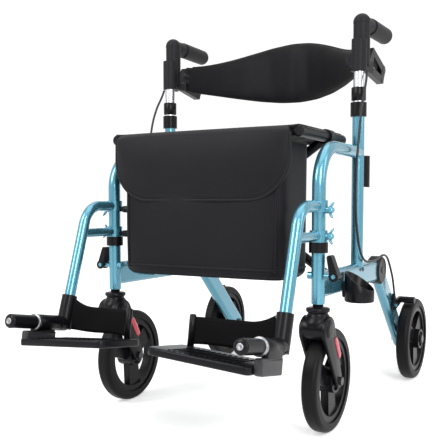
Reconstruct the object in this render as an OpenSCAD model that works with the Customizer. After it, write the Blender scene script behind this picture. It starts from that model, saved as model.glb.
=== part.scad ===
// Rollator transport chair: a side-folding walker with a sling seat, a bowed
// backrest and swing-away footrests. Millimetres, +Z up, +Y to the rear.
// The origin is on the floor, on the middle plane, halfway between the front
// posts and the rear axles. The right-hand side lies at +X.

/* [Wheels] */
// Diameter of all four wheels
wheel_d = 200; // [180:1:220]
// Width of a tyre
tyre_w = 30; // [24:1:34]
// Radial height of a tyre
tyre_h = 19; // [14:1:24]
// Radial depth of the rim ring inside the tyre
rim_h = 12; // [8:1:16]
// Diameter of the hub
hub_d = 48; // [40:1:56]
// Width of one spoke at the hub
spoke_w = 30; // [20:1:36]
// Number of spokes
spokes = 3; // [3:1:6]
// Diameter of a rear axle
rear_axle_d = 10; // [8:0.5:12]
// Diameter of a front axle
front_axle_d = 8; // [6:0.5:10]

/* [Side frames] */
// Distance from the front post to the rear axle
wheelbase = 555; // [520:1:600]
// Distance between the middle planes of the two side frames
frame_w = 470; // [440:1:500]
// Distance of the rear post behind the front post
rear_post_back = 219; // [200:1:240]
// Outer diameter of the frame tubes
tube_d = 25.4; // [22:0.2:28]
// Height of the open lower end of the front post
post_bottom_z = 253; // [245:1:258]
// Height of the axis of the top tube
top_tube_z = 545; // [520:1:570]
// Bend radius between the front post and the top tube
bend_r = 75; // [60:1:90]
// Height of the rear post above the axis of the top tube
post_above = 95; // [85:1:110]
// Height of the axis of the lower rail
rail_z = 287; // [280:1:295]
// Height of the flat-oval rail section
rail_h = 50; // [40:1:54]
// Width of the flat-oval rail section
rail_w = 22; // [18:1:24]
// Length of the lower rail behind the front post
rail_len = 345; // [330:1:370]
// Diameter of the moulded elbow between rail and rear leg
elbow_d = 64; // [60:1:72]
// Distance of the rear wheel's middle plane outside the side frame
rear_wheel_out = 34; // [32:1:40]

/* [Casters] */
// Distance of the front axle behind its swivel axis
trail = 51; // [40:1:60]
// Diameter of the caster stem
stem_d = 12; // [10:0.5:14]
// Thickness of one fork arm
fork_t = 7; // [5:0.5:9]
// Diameter of the fork crown
crown_d = 44; // [40:1:50]

/* [Folding brace and seat] */
// Diameter of the brace tubes
brace_d = 19; // [16:0.5:22]
// Diameter of the seat rails
seat_rail_d = 22; // [20:0.5:25]
// Height of the axis of the seat rails
seat_rail_z = 570; // [555:1:590]
// Distance of a seat rail inside its side frame
seat_rail_in = 30; // [28:1:36]
// Distance of the front brace tube behind the front post
brace_back = 118; // [112:1:130]
// Thickness of the seat sling
seat_t = 14; // [8:1:18]
// Length of the seat sling from front to back
seat_l = 225; // [200:1:235]
// Depth of the sag at the middle of the seat
seat_sag = 7; // [4:1:10]

/* [Handles] */
// Height of the top of the grips above the rear post
handle_rise = 194; // [185:1:215]
// Height of the moulded handle from its lower end to the top of the grip
handle_h = 122; // [118:1:130]
// Outer diameter of the telescoping tube
handle_tube_d = 22.2; // [19:0.2:22.4]
// Length of a grip behind the rear post
grip_len = 172; // [160:1:190]
// Diameter of a grip at its fullest
grip_d = 36; // [32:1:40]
// Outward turn of a grip
grip_flare = 2; // [0:1:6]
// Diameter of the upright part of a handle
handle_d = 35; // [32:0.5:35.5]
// Length of handle tube that stays inside the rear post
tube_inside = 180; // [150:1:220]

/* [Backrest] */
// Drop of the ends of the backrest below the top of the grips
back_drop = 94; // [88:1:98]
// Rise of the middle of the pad above its ends
back_lift = 24; // [10:1:30]
// Height of the pad at the middle
back_h = 142; // [110:1:160]
// Height of the pad at its ends
back_end_h = 58; // [45:1:75]
// How far the pad bows to the rear
back_bow = 175; // [150:1:200]
// Thickness of the pad at the middle
back_t = 24; // [16:1:30]

/* [Footrests] */
// Outer diameter of the hanger tube
hanger_d = 22; // [20:0.5:25]
// Height of the hanger's upper clamp on the post
hanger_z = 433; // [425:1:440]
// Height of the hanger's lower clamp on the post
strut_z = 378; // [374:1:384]
// Lean of the hanger from the vertical
hanger_lean = 18; // [15:0.5:21]
// Length of the sloping part of the hanger
hanger_len = 200; // [190:1:204]
// Nose-up tilt of the footplate
plate_tilt = 10; // [5:1:14]
// Width of the footplate from the pivot inwards
plate_w = 186; // [150:1:195]
// Length of the footplate
plate_l = 148; // [130:1:160]
// Thickness of the footplate
plate_t = 22; // [16:1:26]

/* [Storage bag] */
// Width of the bag at the top
bag_top_w = 364; // [340:1:384]
// Width of the bag at the bottom
bag_bottom_w = 360; // [320:1:370]
// Height of the underside of the bag
bag_bottom_z = 294; // [280:1:330]
// Depth of the bag behind the front post
bag_back = 90; // [70:1:96]
// Reach of the bag in front of the front post
bag_front = 44; // [36:1:56]
// Width of the flap
flap_w = 388; // [370:1:400]
// Height of the flap
flap_h = 135; // [115:1:170]

/* [Cane holder] */
// Inner diameter of the cane cup
cup_d = 52; // [40:1:56]
// Height of the cane cup at its front edge
cup_h = 58; // [50:1:66]
// Diameter of the cane that the clip holds
cane_d = 23; // [19:0.5:25]

/* [Hidden] */
$fn = 48;

blue = "#3f9fbe";
black = "#1d1d1f";
rubber = "#161616";
cloth = "#232325";
silver = "#c9ccd0";

// Clearances: a running shaft, a pressed piece and two neighbours
run_gap = 0.05;
seat_gap = 0.02;
clear_gap = 0.3;

wheel_r = wheel_d / 2;
side_x = frame_w / 2;
front_y = -wheelbase / 2;
rear_axle_y = wheelbase / 2;
rear_y = front_y + rear_post_back;
tube_r = tube_d / 2;
rear_post_top_z = top_tube_z + post_above;

rim_r = wheel_r - tyre_h;
spoke_turn = -83;
hub_r = hub_d / 2;

elbow_y = front_y + rail_len + 14;
leg_drop = rail_z - wheel_r;
leg_back = rear_axle_y - elbow_y;
leg_len = norm([leg_back, leg_drop]);
leg_angle = atan2(leg_drop, leg_back);
leg_face = side_x + rail_w / 2;
rear_wheel_x = side_x + rear_wheel_out;
rear_hub_in = leg_face + 0.5;
rear_hub_out = rear_wheel_x + tyre_w / 2 + 7;
axle_head_r = rear_axle_d / 2 + 5;
axle_head_t = 5;

// Places on the brake: measured from the rear axle
brake_pivot_dist = 136;
brake_pin_r = 4;
brake_pad_r = 8;
brake_pad_gap = 4;
brake_pad_angle = 114;
brake_pivot = [rear_axle_y - brake_pivot_dist * cos(leg_angle),
               wheel_r + brake_pivot_dist * sin(leg_angle)];
brake_pad_dist = wheel_r + brake_pad_gap + brake_pad_r;
brake_pad = [rear_axle_y + brake_pad_dist * cos(brake_pad_angle),
             wheel_r + brake_pad_dist * sin(brake_pad_angle)];
brake_plate_t = 6;
brake_plate_x = leg_face + 1;
brake_pin_end = brake_plate_x + brake_plate_t + 5;

// Caster: the fork hangs below a bearing ring at the foot of the post
bearing_h = 7;
crown_top = post_bottom_z - bearing_h;
fork_gap = tyre_w / 2 + 4;
fork_out = fork_gap + fork_t;
crown_bottom = wheel_d + 6;
stem_len = 42;
crown_bulge = 29;
fork_foot_r = 14;
front_axle_y = front_y + trail;
front_hub_half = fork_gap - 0.5;

// Clamp lever: a cam lever on the end of a cross stud in the front post
lever_z = post_bottom_z + 52;
lever_pin_r = 4;
lever_out = 33;
stud_r = 4.5;
stud_in = 20;

// Folding brace: two crossed tubes, pivoted on the rails and the seat rails
pivot_x = side_x - seat_rail_in;
brace_run = 2 * pivot_x;
brace_rise = seat_rail_z - rail_z;
brace_len = norm([brace_run, brace_rise]);
brace_angle = atan2(brace_rise, brace_run);
brace_front_y = front_y + brace_back;
brace_eye_l = 24;
brace_rear_y = brace_front_y + brace_eye_l + 4;
brace_pin_r = 5;
brace_eye_r = 11;
brace_ear_t = 5;
seat_rail_r = seat_rail_d / 2;
seat_rail_y0 = front_y - 30;
seat_rail_y1 = rear_y - tube_r - 4;

// Handle: grip, upright and the lever below the grip
handle_top_z = rear_post_top_z + handle_rise;
grip_r = grip_d / 2;
grip_z = handle_top_z - grip_r;
handle_r = handle_d / 2;
handle_tube_r = handle_tube_d / 2;
handle_z0 = handle_top_z - handle_h;
handle_set = 15;
handle_y = rear_y + handle_set;
tube_socket_r = 16;
tube_socket_h = 66;
lever_back = 45;
lever_drop = 108;
brake_lever_y = rear_y + lever_back;
brake_lever_z = handle_top_z - lever_drop;
lever_t = 14;
lever_pin = 3;
guide_drop = 60;
guide_h = 27;
clevis_half = 12;
grip_neck = 46;
grip_end = 14;
tube_in_handle = 60;
back_socket_r = 13;
lever_tip_y = rear_y + grip_len - 32;
collar_below = 21;
collar_above = 8;

// Backrest: the pad hangs between two sockets on the handles
back_z = handle_top_z - back_drop;
back_end_x = side_x - handle_r - 3.5;
back_y = handle_y + 27;
back_stations = 28;
back_ring = 16;

// Footrest: hanger path and pivot
hanger_r = hanger_d / 2;
arm_r = hanger_r - 0.4;
hanger_bend_r = 50;
hanger_start = 52;
clamp_wall = 4;
clamp_h = 22;
hanger_turn = 90 - hanger_lean;
slope_f = hanger_start + hanger_bend_r * sin(hanger_turn);
slope_z = hanger_z - hanger_bend_r * (1 - cos(hanger_turn));
socket_r = 15;
socket_from = 151;
pivot_along = 207;
socket_to = pivot_along + 11;
plate_pin_r = 6;
barrel_r = 15;
plate_pivot_y = front_y - slope_f - pivot_along * sin(hanger_lean);
plate_pivot_z = slope_z - pivot_along * cos(hanger_lean);
barrel_from = 20;
barrel_to = 82;
cap_to = plate_l - 4;
cap_r = barrel_r - 2;
plate_front = -plate_l + 30;
plate_sweep = 52;
plate_top = -barrel_r + 1;
strap_t = 3;
strap_h = 62;
strap_dip = 14;
strap_in = -plate_w + 7;
strap_y = 7;
strap_bow = 8;
strap_post_r = 6;

// Seat, bag and flap
seat_top = seat_rail_z + seat_t / 2 + 5;
seat_y0 = front_y - bag_front + 10;
seat_half = pivot_x - seat_rail_r - 4 - clear_gap;
seat_lift = 4;
bag_top_z = seat_top - seat_t - seat_sag - clear_gap;
flap_top_z = seat_rail_z + 10;
flap_y = front_y - bag_front - clear_gap;
flap_t = 4;
flap_corner = 78;

// Cane holder
cup_r = cup_d / 2;
cup_wall = 3;
cup_x = leg_face + cup_r + cup_wall + 2;
cup_y = front_y + 112;
cup_z0 = rail_z - 41;
clip_r = cane_d / 2 + 4.5;
clip_z = top_tube_z - 72;
clip_h = 66;

// Brake cable: the route on the right-hand side, chosen by hand
cable_r = 2.5;
cable_x = side_x + tube_r + 8;
cable_low = rail_z + rail_h / 2 + 4;
cable_points = [
  [cable_x - 4, rear_y, handle_z0 - 3], [cable_x - 2, rear_y - 9, handle_z0 - 20],
  [cable_x, rear_y - 28, handle_z0 - 50], [cable_x, rear_y - 46, handle_z0 - 90],
  [cable_x, rear_y - 60, top_tube_z + 15], [cable_x, rear_y - 70, top_tube_z - 30],
  [cable_x, rear_y - 74, top_tube_z - 75], [cable_x, rear_y - 72, top_tube_z - 120],
  [cable_x, rear_y - 62, cable_low + 69], [cable_x - 1, rear_y - 44, cable_low + 34],
  [cable_x - 1, rear_y - 20, cable_low + 10], [cable_x - 2, rear_y + 10, cable_low],
  [cable_x - 2, rear_y + 48, cable_low - 2], [cable_x - 2, elbow_y - 52, cable_low],
  [cable_x - 2, elbow_y - 16, cable_low + 6], [cable_x - 2, elbow_y + 18, cable_low],
  [cable_x - 1, elbow_y + 42, cable_low - 24],
  [cable_x + 1, brake_pivot[0] - 39, brake_pivot[1] + 68],
  [cable_x + 2, brake_pivot[0] - 29, brake_pivot[1] + 38],
  [cable_x + 3, brake_pivot[0] - 23, brake_pivot[1] + 20]
];

// Draws a right-hand piece as it is, or mirrored to the left
module on_side(side) {
  if (side == "right") children();
  else mirror([1, 0, 0]) children();
}

// Carries a drawing in (y, z) to the side plane and gives it a width along X
module side_plate(x0, w) {
  translate([x0, 0, 0]) rotate([90, 0, 90]) linear_extrude(w) children();
}

module rod_x(r, x0, x1, y, z) {
  translate([x0, y, z]) rotate([0, 90, 0]) cylinder(r = r, h = x1 - x0);
}

module rod_y(r, y0, y1, x, z) {
  translate([x, y0, z]) rotate([-90, 0, 0]) cylinder(r = r, h = y1 - y0);
}

module rod_z(r, z0, z1, x, y) {
  translate([x, y, z0]) cylinder(r = r, h = z1 - z0);
}

// Corners of the straight part between two tangent circles
function tangent_quad(p, rp, q, rq) =
  let (d = norm(q - p), u = (q - p) / d, n = [-u[1], u[0]])
  let (s = (rp - rq) / d, c = sqrt(1 - s * s))
  [p + rp * (s * u + c * n), q + rq * (s * u + c * n),
   q + rq * (s * u - c * n), p + rp * (s * u - c * n)];

// Flat bar with round ends of different sizes
module tapered_bar(p, rp, q, rq) {
  translate(p) circle(rp);
  translate(q) circle(rq);
  polygon(tangent_quad(p, rp, q, rq));
}

module rounded_rect(x0, y0, x1, y1, r) {
  translate([x0 + r, y0]) square([x1 - x0 - 2 * r, y1 - y0]);
  translate([x0, y0 + r]) square([x1 - x0, y1 - y0 - 2 * r]);
  for (x = [x0 + r, x1 - r], y = [y0 + r, y1 - r]) translate([x, y]) circle(r);
}

// Section of the flat-oval tube, upright
module oval_section() {
  r = rail_w / 2;
  square([rail_w, rail_h - rail_w], center = true);
  for (s = [-1, 1]) translate([0, s * (rail_h / 2 - r)]) circle(r);
}

// Front post, bend and top tube in one piece, with a stud for the clamp lever
module front_tube(side) {
  color(blue) on_side(side) difference() {
    union() {
      rod_z(tube_r, post_bottom_z, top_tube_z - bend_r, side_x, front_y);
      translate([side_x, front_y + bend_r, top_tube_z - bend_r])
        rotate([90, 0, -90]) rotate_extrude(angle = 90) translate([bend_r, 0]) circle(tube_r);
      rod_y(tube_r, front_y + bend_r, rear_y, side_x, top_tube_z);
      rod_x(stud_r + 2.5, side_x - stud_in, side_x, front_y, lever_z);
      rod_x(stud_r, side_x, side_x + lever_out, front_y, lever_z);
      rod_y(lever_pin_r, front_y - 11, front_y + 11, side_x + lever_out, lever_z);
    }
    rod_z(stem_d / 2 + run_gap, post_bottom_z - 1, post_bottom_z + stem_len + 2, side_x, front_y);
    rod_z(tube_r + seat_gap, top_tube_z - 40, top_tube_z + 40, side_x, rear_y);
  }
}

// Rear post, bored from the top for the telescoping handle tube
module rear_post(side) {
  bore_bottom = rear_post_top_z - tube_inside - 40;
  color(blue) on_side(side) difference() {
    rod_z(tube_r, rail_z + rail_h / 2 - rail_w / 2, rear_post_top_z, side_x, rear_y);
    rod_z(handle_tube_r + run_gap, bore_bottom, rear_post_top_z + 1, side_x, rear_y);
    translate([side_x, rear_y - tube_d, rail_z]) rotate([-90, 0, 0])
      linear_extrude(2 * tube_d) oval_section();
  }
}

// Lower rail, coped to the front post, with the brace ears and pivot pin
module lower_rail(side) {
  brace_y = side == "left" ? brace_front_y : brace_rear_y;
  ear_y = brace_eye_l / 2 + clear_gap;
  color(blue) on_side(side) {
    difference() {
      translate([side_x, front_y, rail_z]) rotate([-90, 0, 0]) linear_extrude(rail_len) oval_section();
      rod_z(tube_r + seat_gap, rail_z - rail_h, rail_z + rail_h, side_x, front_y);
      elbow_cut();
    }
    for (y = [brace_y - ear_y - brace_ear_t, brace_y + ear_y]) {
      rod_y(brace_eye_r, y, y + brace_ear_t, pivot_x, rail_z);
      translate([pivot_x, y, rail_z - brace_eye_r])
        cube([seat_rail_in - rail_w / 2, brace_ear_t, 2 * brace_eye_r]);
    }
    rod_y(brace_pin_r, brace_y - ear_y - 1, brace_y + ear_y + 1, pivot_x, rail_z);
  }
}

// The rear leg's straight stretch from the elbow to the axle
module leg_solid() {
  translate([side_x, elbow_y, rail_z]) rotate([-leg_angle, 0, 0]) rotate([-90, 0, 0])
    linear_extrude(leg_len) oval_section();
}

// Cylinder that the rail and the leg are coped to
module elbow_cut() {
  rod_x(elbow_d / 2 + seat_gap, side_x - 2 * rail_w, side_x + 2 * rail_w, elbow_y, rail_z);
}

// Moulded elbow between the rail and the sloping rear leg: a disc with broken edges
module rail_elbow(side) {
  r = elbow_d / 2;
  half = rail_w / 2 + 4;
  color(black) on_side(side) translate([side_x - half, elbow_y, rail_z]) rotate([0, 90, 0]) rotate_extrude()
    polygon([[0, 0], [r - 4, 0], [r, 4], [r, 2 * half - 4], [r - 4, 2 * half], [0, 2 * half]]);
}

// Rear leg: flat-oval tube with a round foot at the axle and a pin for the brake
module rear_leg(side) {
  hub_profile = rail_h / 2;
  color(blue) on_side(side) difference() {
    union() {
      difference() {
        leg_solid();
        elbow_cut();
      }
      translate([side_x, rear_axle_y, wheel_r]) rotate([0, 90, 0]) rotate_extrude() intersection() {
        rotate(90) oval_section();
        translate([0, -rail_w]) square([hub_profile, 2 * rail_w]);
      }
      rod_x(brake_pin_r, side_x, brake_pin_end, brake_pivot[0], brake_pivot[1]);
    }
    rod_x(rear_axle_d / 2 + seat_gap, side_x - rail_w, side_x + rail_w, rear_axle_y, wheel_r);
  }
}

// Rear axle bolt with a head inside the leg and a cap outside the hub
module rear_axle(side) {
  head_x = side_x - rail_w / 2 - axle_head_t;
  color(silver) on_side(side) {
    rod_x(axle_head_r, head_x, head_x + axle_head_t, rear_axle_y, wheel_r);
    rod_x(rear_axle_d / 2, head_x, rear_hub_out + 4, rear_axle_y, wheel_r);
    rod_x(axle_head_r, rear_hub_out + clear_gap, rear_hub_out + 5, rear_axle_y, wheel_r);
  }
}

// Rim with hub, spokes and ring, centred on its own middle plane, axis along X
module rim(half_in, half_out, bore_r) {
  ring_in = rim_r - rim_h;
  rotate([90, 0, 90]) difference() {
    union() {
      translate([0, 0, -half_in]) cylinder(r = hub_r, h = half_in + half_out);
      rotate_extrude() translate([ring_in, -tyre_w / 2 + 3]) square([rim_h, tyre_w - 6]);
      for (i = [0 : spokes - 1]) rotate(spoke_turn + i * 360 / spokes)
        translate([0, 0, -tyre_w / 2 + 7]) linear_extrude(tyre_w - 14)
          polygon([[0, -spoke_w / 2], [ring_in + 2, -spoke_w / 2 - 5],
                   [ring_in + 2, spoke_w / 2 + 5], [0, spoke_w / 2]]);
    }
    translate([0, 0, -half_in - 1]) cylinder(r = bore_r + run_gap, h = half_in + half_out + 2);
    for (s = [-1, 1]) translate([0, 0, s > 0 ? half_out - 4 : -half_in - 1])
      difference() {
        cylinder(r = hub_r - 5, h = 5);
        translate([0, 0, -1]) cylinder(r = bore_r + 6, h = 7);
      }
  }
}

// Tyre with a round-shouldered tread, axis along X
module tyre() {
  shoulder = 9;
  rotate([90, 0, 90]) rotate_extrude() difference() {
    rounded_rect(rim_r - shoulder, -tyre_w / 2, wheel_r, tyre_w / 2, shoulder);
    translate([0, -tyre_w]) square([rim_r + seat_gap, 2 * tyre_w]);
  }
}

module rear_rim(side) {
  color(black) on_side(side) translate([rear_wheel_x, rear_axle_y, wheel_r])
    rim(rear_wheel_x - rear_hub_in, rear_hub_out - rear_wheel_x, rear_axle_d / 2);
}

module rear_tyre(side) {
  color(rubber) on_side(side) translate([rear_wheel_x, rear_axle_y, wheel_r]) tyre();
}

// Brake arm: a plate on the leg's pin, with a pad bar across the tyre and a cable horn
module brake_arm(side) {
  horn = brake_pivot + 24 * [-cos(leg_angle + 35), sin(leg_angle + 35)];
  color(black) on_side(side) difference() {
    union() {
      side_plate(brake_plate_x, brake_plate_t) {
        tapered_bar(brake_pivot, 12, brake_pad, brake_pad_r);
        tapered_bar(brake_pivot, 12, horn, 6);
      }
      rod_x(brake_pad_r, brake_plate_x, rear_wheel_x + tyre_w / 2 + 2, brake_pad[0], brake_pad[1]);
    }
    rod_x(brake_pin_r + run_gap, leg_face, brake_pin_end + 1, brake_pivot[0], brake_pivot[1]);
  }
}

// Caster fork: crown, two tapering arms, bearing ring and swivel stem
module caster_fork(side) {
  crown_c = [front_y - 4, crown_top - crown_bulge];
  foot = [front_axle_y, wheel_r];
  color(black) on_side(side) difference() {
    union() {
      intersection() {
        side_plate(side_x - fork_out, 2 * fork_out) intersection() {
          tapered_bar(crown_c, crown_bulge, foot, fork_foot_r);
          translate([front_y - 60, crown_bottom]) square([160, crown_top - crown_bottom]);
        }
        rod_z(fork_out + 8, crown_bottom - 1, crown_top + 1, side_x, front_y + 4);
      }
      for (x = [side_x - fork_out, side_x + fork_gap])
        side_plate(x, fork_t) tapered_bar(crown_c, crown_bulge, foot, fork_foot_r);
      rod_z(crown_d / 2, crown_top - 14, crown_top, side_x, front_y);
      rod_z(10, crown_top - 1, post_bottom_z - clear_gap, side_x, front_y);
      rod_z(stem_d / 2, crown_top - 1, post_bottom_z + stem_len, side_x, front_y);
    }
    rod_x(front_axle_d / 2 + seat_gap, side_x - fork_out - 1, side_x + fork_out + 1, front_axle_y, wheel_r);
  }
}

module front_axle(side) {
  r = front_axle_d / 2;
  color(silver) on_side(side) {
    rod_x(r, side_x - fork_out - 2, side_x + fork_out + 2, front_axle_y, wheel_r);
    for (x = [side_x - fork_out - 5, side_x + fork_out]) rod_x(r + 4, x, x + 5, front_axle_y, wheel_r);
  }
}

module front_rim(side) {
  color(black) on_side(side) translate([side_x, front_axle_y, wheel_r])
    rim(front_hub_half, front_hub_half, front_axle_d / 2);
}

module front_tyre(side) {
  color(rubber) on_side(side) translate([side_x, front_axle_y, wheel_r]) tyre();
}

// Collar that caps the rear post around the telescoping tube
module post_collar(side) {
  r = tube_r + 4;
  bottom = rear_post_top_z - collar_below;
  color(black) on_side(side) translate([side_x, rear_y, 0]) rotate_extrude() difference() {
    translate([0, bottom]) square([r, collar_below + collar_above]);
    translate([-1, bottom - 1]) square([tube_r + seat_gap + 1, collar_below + 1]);
    translate([-1, rear_post_top_z - 1]) square([handle_tube_r + run_gap + 1, collar_above + 2]);
  }
}

// Telescoping tube, with the black guide ring that rides below the handle
module handle_tube(side) {
  top = handle_z0 + tube_in_handle;
  color(silver) on_side(side) {
    rod_z(handle_tube_r, rear_post_top_z - tube_inside, top, side_x, rear_y);
    rod_z(handle_tube_r + 3, handle_z0 - guide_drop, handle_z0 - guide_drop + guide_h, side_x, rear_y);
  }
}

// Turns a handle's grip and lever outwards around the upright
module flared() {
  translate([side_x, rear_y, 0]) rotate([0, 0, -grip_flare]) translate([-side_x, -rear_y, 0]) children();
}

// Half profile of a grip: a thinner neck, a full palm and a round end
module grip_profile() {
  straight = grip_len - handle_set - grip_end;
  square([grip_r - 2, straight]);
  translate([0, grip_neck]) square([grip_r, straight - grip_neck]);
  translate([0, straight]) square([grip_r - grip_end, grip_end]);
  intersection() {
    translate([0, straight]) square([grip_r, grip_end]);
    translate([grip_r - grip_end, straight]) circle(grip_end);
  }
}

// Moulded handle: tube socket, upright behind it, grip to the rear, lever clevis and pad socket
module handle(side) {
  color(black) on_side(side) {
    difference() {
      union() {
        rod_z(tube_socket_r, handle_z0, handle_z0 + tube_socket_h, side_x, rear_y);
        rod_z(handle_r, handle_z0 + 14, grip_z, side_x, handle_y);
        translate([side_x, handle_y, grip_z]) sphere(r = grip_r);
        flared() translate([side_x, handle_y, grip_z]) rotate([-90, 0, 0]) rotate_extrude() grip_profile();
        flared() side_plate(side_x - clevis_half, 2 * clevis_half)
          rounded_rect(rear_y, handle_z0 + 2, brake_lever_y + 11, brake_lever_z + 12, 10);
        rod_y(back_socket_r, handle_y - 6, back_y - 3, back_end_x, back_z);
      }
      rod_z(handle_tube_r + seat_gap, handle_z0 - 1, handle_z0 + tube_in_handle, side_x, rear_y);
      flared() translate([side_x - lever_t / 2 - clear_gap, handle_y + handle_r + 1, handle_z0 - 1])
        cube([lever_t + 2 * clear_gap, 60, brake_lever_z + 30 - handle_z0]);
    }
    flared() rod_x(lever_pin, side_x - clevis_half, side_x + clevis_half, brake_lever_y, brake_lever_z);
  }
}

// Loop brake lever on its cross pin: a four-cornered outline with an open middle
module brake_lever(side) {
  pivot = [brake_lever_y, brake_lever_z];
  corners = [pivot, pivot + [25, 40], [lever_tip_y, brake_lever_z + 11], pivot + [85, -14]];
  radii = [8, 7, 9, 7];
  hole = [pivot + [18, 6], corners[1] + [4, -11], corners[2] + [-16, -4], corners[3] + [-6, 10]];
  outline = [for (i = [0 : 3]) let (j = (i + 1) % 4)
    let (q = tangent_quad(corners[i], radii[i], corners[j], radii[j]))
    each [q[0], q[1]]];
  color(black) on_side(side) flared() difference() {
    union() {
      side_plate(side_x - lever_t / 2 + 0.4, lever_t - 0.8) difference() {
        polygon(outline);
        polygon(hole);
      }
      for (i = [0 : 3])
        rod_x(radii[i] + 0.2, side_x - lever_t / 2, side_x + lever_t / 2, corners[i][0], corners[i][1]);
    }
    rod_x(lever_pin + run_gap, side_x - handle_d, side_x + handle_d, brake_lever_y, brake_lever_z);
  }
}

// Points of the cable's skin: rings of eight points square to the route
function cable_dir(i) =
  let (n = len(cable_points), a = cable_points[max(i - 1, 0)], b = cable_points[min(i + 1, n - 1)])
  (b - a) / norm(b - a);
function cable_ring(i) =
  let (d = cable_dir(i), u = cross(d, [1, 0, 0]) / norm(cross(d, [1, 0, 0])), v = cross(d, u))
  [for (k = [0 : 7]) cable_points[i] + cable_r * (cos(k * 45) * u + sin(k * 45) * v)];

module tube_skin(rings) {
  n = len(rings);
  m = len(rings[0]);
  walls = [for (i = [0 : n - 2], k = [0 : m - 1]) let (j = (k + 1) % m)
    each [[i * m + k, i * m + j, (i + 1) * m + j], [i * m + k, (i + 1) * m + j, (i + 1) * m + k]]];
  first = [for (k = [1 : m - 2]) [0, k + 1, k]];
  last = [for (k = [1 : m - 2]) (n - 1) * m * [1, 1, 1] + [0, k, k + 1]];
  polyhedron([for (r = rings) each r], concat(walls, first, last));
}

module brake_cable(side) {
  color(black) on_side(side) tube_skin([for (i = [0 : len(cable_points) - 1]) cable_ring(i)]);
}

// Collar on the front post that carries the footrest hanger
module stop_collar(side) {
  top = strut_z - clamp_h / 2 - clear_gap;
  color(black) on_side(side) difference() {
    translate([side_x, front_y, top - 19]) cylinder(r = tube_r + 5, h = 19);
    rod_z(tube_r + seat_gap, top - 20, top + 1, side_x, front_y);
  }
}

// Cam lever on the stud's cross pin, folded up along the post
module clamp_lever(side) {
  x = side_x + lever_out;
  color(black) on_side(side) difference() {
    union() {
      rod_y(9, front_y - 11, front_y + 11, x, lever_z);
      translate([0, front_y + 9, 0]) rotate([90, 0, 0]) linear_extrude(18)
        tapered_bar([x, lever_z], 8, [x - 9, lever_z + 34], 5);
    }
    rod_y(lever_pin_r + run_gap, front_y - 12, front_y + 12, x, lever_z);
    translate([x - 20, front_y - stud_r - clear_gap, lever_z - 20])
      cube([20 + stud_r + clear_gap, 2 * (stud_r + clear_gap), 20 + stud_r + clear_gap]);
  }
}

// A place on the sloping part of the hanger, measured along the tube
function slope_at(l) = [side_x, front_y - slope_f - l * sin(hanger_lean), slope_z - l * cos(hanger_lean)];

module along_slope(l) {
  translate(slope_at(l)) rotate([180 - hanger_lean, 0, 0]) children();
}

// Footrest hanger: two clamp rings on the post, bent tube and strut
module hanger(side) {
  strut_f = slope_f + (slope_z - strut_z) * tan(hanger_lean);
  color(blue) on_side(side) difference() {
    union() {
      for (z = [hanger_z, strut_z])
        rod_z(tube_r + clamp_wall, z - clamp_h / 2, z + clamp_h / 2, side_x, front_y);
      rod_y(arm_r, front_y - hanger_start, front_y, side_x, hanger_z);
      translate([side_x, front_y - hanger_start, hanger_z - hanger_bend_r]) rotate([90, 0, 90])
        rotate([0, 0, 90]) rotate_extrude(angle = hanger_turn) translate([hanger_bend_r, 0]) circle(arm_r);
      along_slope(-4) cylinder(r = hanger_r, h = hanger_len + 4);
      rod_y(hanger_r - 2, front_y - strut_f, front_y, side_x, strut_z);
    }
    rod_z(tube_r + run_gap, strut_z - 40, hanger_z + 40, side_x, front_y);
  }
}

// Places the footplate's own frame: origin on the pivot, -Y along it to the front
module at_plate() {
  translate([side_x, plate_pivot_y, plate_pivot_z]) rotate([-plate_tilt, 0, 0]) children();
}

// Socket at the foot of the hanger, with the footplate's pivot pin and end cap
module foot_socket(side) {
  color(black) on_side(side) difference() {
    union() {
      along_slope(socket_from) cylinder(r = socket_r, h = socket_to - socket_from);
      at_plate() rotate([90, 0, 0]) {
        cylinder(r = barrel_r, h = barrel_from - clear_gap);
        cylinder(r = plate_pin_r, h = cap_to - 4);
        translate([0, 0, barrel_to + clear_gap]) cylinder(r = cap_r, h = cap_to - barrel_to - clear_gap);
      }
    }
    along_slope(socket_from - 1) cylinder(r = hanger_r + seat_gap, h = hanger_len - socket_from + 1);
  }
}

// Footplate: barrel on the pivot, thick plate swept back towards its inner end, and the strap post
module footplate(side) {
  sweep_angle = atan2(plate_sweep, plate_w + barrel_r);
  color(black) on_side(side) at_plate() difference() {
    union() {
      translate([0, -barrel_from, 0]) rotate([90, 0, 0]) cylinder(r = barrel_r, h = barrel_to - barrel_from);
      translate([-barrel_r, -barrel_to, plate_top - 6])
        cube([2 * barrel_r, barrel_to - barrel_from, 6 - plate_top]);
      translate([0, 0, plate_top - plate_t]) linear_extrude(plate_t) difference() {
        union() {
          rounded_rect(-plate_w, plate_front, -24, 30, 14);
          rounded_rect(-plate_w, plate_front, barrel_r, -barrel_from, 12);
        }
        translate([barrel_r - 12, plate_front]) rotate(-sweep_angle)
          translate([-2 * plate_w, -plate_l]) square([2 * plate_w, plate_l]);
      }
      translate([strap_in, strap_y, plate_top - 2]) cylinder(r = strap_post_r, h = strap_h + 10);
    }
    translate([0, 1, 0]) rotate([90, 0, 0]) cylinder(r = plate_pin_r + run_gap, h = plate_l);
  }
}

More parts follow.
